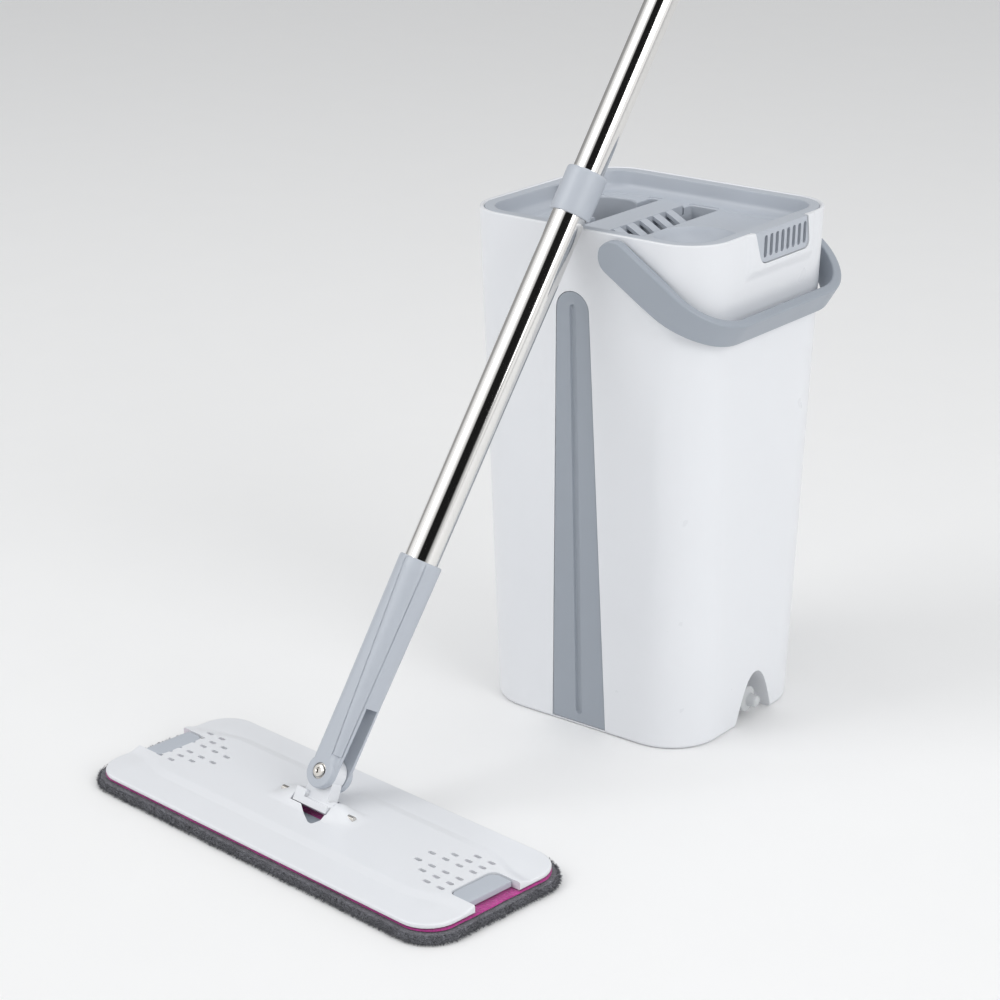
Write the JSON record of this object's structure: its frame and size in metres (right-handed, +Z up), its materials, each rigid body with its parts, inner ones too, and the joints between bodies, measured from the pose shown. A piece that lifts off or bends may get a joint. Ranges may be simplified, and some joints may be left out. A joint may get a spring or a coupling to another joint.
{
  "type": "flat mop and squeeze bucket",
  "caption": "Flat mop with a telescopic steel pole, leaning on a tall two-chute bucket that washes and squeezes its pad.",
  "frame": {"origin": "centre of the bucket's base, on the floor", "axes": "+Z up, +X towards the narrow side with the drain, -Y towards the wide side that the mop leans on"},
  "size_m": [0.3476, 0.6796, 1.0144],
  "materials": {
    "white_plastic": "smooth moulded, satin gloss",
    "grey_plastic": "fine moulded satin",
    "dark_plastic": "moulded",
    "blade_rubber": "smooth",
    "clear_plastic": "milky translucent",
    "steel_tube": "polished",
    "fastener": "nickel plated",
    "pad_fibre": "cut microfibre pile",
    "pad_fabric": "brushed knit",
    "hook_tape": "hook tape"
  },
  "bodies": {
    "bucket": {"bucket_shell": "white_plastic", "side_strip_front": "grey_plastic", "side_strip_back": "grey_plastic", "top_insert": "grey_plastic", "wringer_comb": "grey_plastic", "squeeze_blade": "blade_rubber", "drain_spout": "clear_plastic", "drain_gasket": "clear_plastic", "drain_nut": "clear_plastic"},
    "bail": {"bail_handle": "grey_plastic", "bail_stud_front": "grey_plastic", "bail_stud_back": "grey_plastic"},
    "plug": {"drain_plug": "clear_plastic"},
    "mop_head": {"mop_plate": "white_plastic", "pad_backing": "pad_fabric", "pad_pile": "pad_fibre", "tilt_axle": "fastener", "hinge_retainer": "dark_plastic", "retainer_screw_left": "fastener", "retainer_screw_right": "fastener", "hook_strip_left": "hook_tape", "hook_strip_right": "hook_tape", "clip_pin_left": "fastener", "clip_pin_right": "fastener"},
    "left_clip": {"clip_left": "grey_plastic"},
    "right_clip": {"clip_right": "grey_plastic"},
    "yoke": {"swivel_yoke": "white_plastic"},
    "pole_lower": {"handle_socket": "grey_plastic", "socket_inlay": "grey_plastic", "pivot_screw": "fastener", "pivot_washer": "fastener", "pivot_nut": "fastener", "lower_tube": "steel_tube", "collar_bush": "dark_plastic"},
    "collar": {"lock_collar": "grey_plastic"},
    "pole_upper": {"upper_tube": "steel_tube", "tube_guide": "dark_plastic", "grip": "grey_plastic", "end_cap": "grey_plastic"}
  },
  "joints": [
    {"name": "mop_lift", "type": "slide", "parent": "bucket", "child": "mop_head", "axis": [0, 0, 1], "range_m": [0, 0.45]},
    {"name": "yoke_tilt", "type": "hinge", "parent": "mop_head", "child": "yoke", "pos_m": [-0.0447, -0.31183, 0.0164], "axis": [0.9941, -0.1083, 0], "range_deg": [0, 75]},
    {"name": "pole_swing", "type": "hinge", "parent": "yoke", "child": "pole_lower", "pos_m": [-0.04353, -0.30105, 0.03438], "axis": [0.0928, 0.8514, -0.5162], "range_deg": [0, 83]},
    {"name": "pole_extend", "type": "slide", "parent": "pole_lower", "child": "pole_upper", "axis": [0.1051, 0.5072, 0.8554], "range_m": [-0.18, 0]},
    {"name": "collar_twist", "type": "hinge", "parent": "pole_lower", "child": "collar", "pos_m": [0.00129, -0.08472, 0.39921], "axis": [0.1051, 0.5072, 0.8554], "range_deg": [0, 90]},
    {"name": "bail_swing", "type": "hinge", "parent": "bucket", "child": "bail", "pos_m": [0.034, 0, 0.3555], "axis": [0, -1, 0], "range_deg": [0, 122]},
    {"name": "plug_pull", "type": "slide", "parent": "bucket", "child": "plug", "axis": [1, 0, 0], "range_m": [0, 0.025]},
    {"name": "clip_lift_right", "type": "hinge", "parent": "mop_head", "child": "right_clip", "pos_m": [0.10254, -0.3314, 0.0122], "axis": [-0.1083, -0.9941, 0], "range_deg": [0, 40]},
    {"name": "clip_lift_left", "type": "hinge", "parent": "mop_head", "child": "left_clip", "pos_m": [-0.18376, -0.30019, 0.0122], "axis": [0.1083, 0.9941, 0], "range_deg": [0, 40]}
  ]
}
